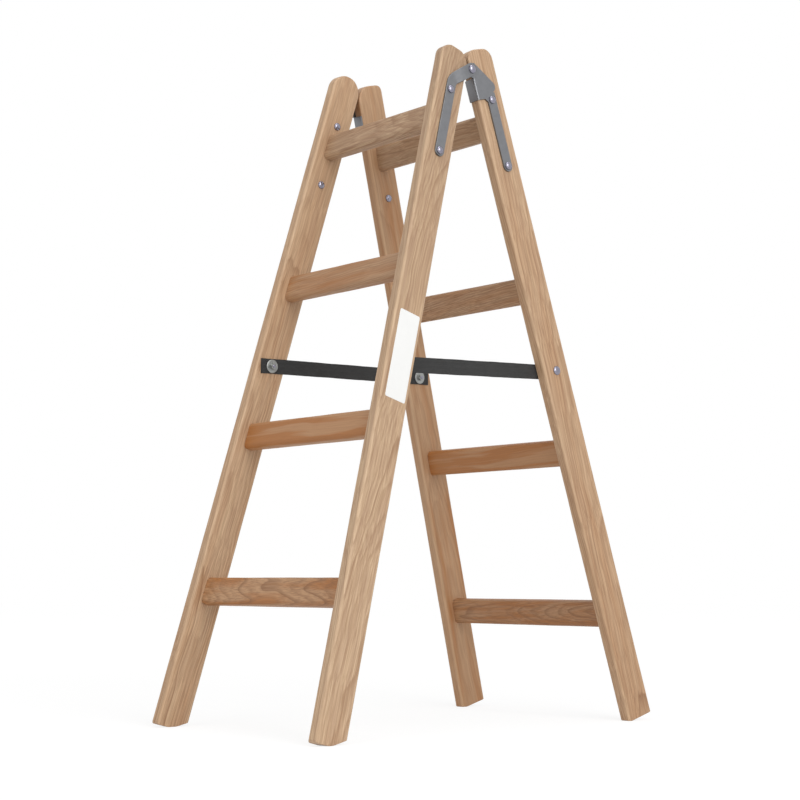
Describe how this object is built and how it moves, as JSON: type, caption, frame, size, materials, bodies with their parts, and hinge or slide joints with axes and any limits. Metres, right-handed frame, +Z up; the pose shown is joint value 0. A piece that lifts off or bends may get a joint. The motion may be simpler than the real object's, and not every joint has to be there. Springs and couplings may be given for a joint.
{
  "type": "double-sided wooden stepladder",
  "caption": "Wooden double-sided stepladder: two pine rung frames on steel strap hinges at the top, held from spreading by flat webbing straps.",
  "frame": {"origin": "on the ground, midway between the stiles and below the hinge axis", "axes": "X along the rungs and the hinge axis, +Y to the rear frame, +Z up"},
  "size_m": [0.4498, 0.7564, 1.178],
  "materials": {
    "stile_pine": "planed, sealed",
    "rung_pine": "planed, sealed",
    "hinge_steel": "satin zinc",
    "bright_steel": "polished",
    "zinc": "dull zinc",
    "webbing": "woven, matte",
    "label": "blank"
  },
  "bodies": {
    "front_frame": {"front_stile_left": "stile_pine", "front_stile_right": "stile_pine", "front_rung_1": "rung_pine", "front_rung_2": "rung_pine", "front_rung_3": "rung_pine", "front_rung_4": "rung_pine", "front_leaf_left": "hinge_steel", "front_leaf_right": "hinge_steel", "front_leaf_rivets_left": "bright_steel", "front_leaf_rivets_right": "bright_steel", "hinge_pin_left": "bright_steel", "hinge_pin_right": "bright_steel", "strap_left": "webbing", "strap_right": "webbing", "front_strap_bolt_left": "bright_steel", "front_strap_bolt_right": "bright_steel", "front_strap_washer_left": "zinc", "front_strap_washer_right": "zinc", "front_strap_nut_left": "zinc", "front_strap_nut_right": "zinc", "blank_label": "label"},
    "rear_frame": {"rear_stile_left": "stile_pine", "rear_stile_right": "stile_pine", "rear_rung_1": "rung_pine", "rear_rung_2": "rung_pine", "rear_rung_3": "rung_pine", "rear_rung_4": "rung_pine", "rear_leaf_left": "hinge_steel", "rear_leaf_right": "hinge_steel", "rear_leaf_rivets_left": "bright_steel", "rear_leaf_rivets_right": "bright_steel", "rear_strap_bolt_left": "bright_steel", "rear_strap_bolt_right": "bright_steel", "rear_strap_washer_left": "zinc", "rear_strap_washer_right": "zinc", "rear_strap_nut_left": "zinc", "rear_strap_nut_right": "zinc"}
  },
  "joints": [
    {"name": "fold", "type": "hinge", "parent": "front_frame", "child": "rear_frame", "pos_m": [0, 0, 1.12385], "axis": [1, 0, 0], "range_deg": [-31.2, 0], "deforming": ["strap_left", "strap_right"]}
  ]
}
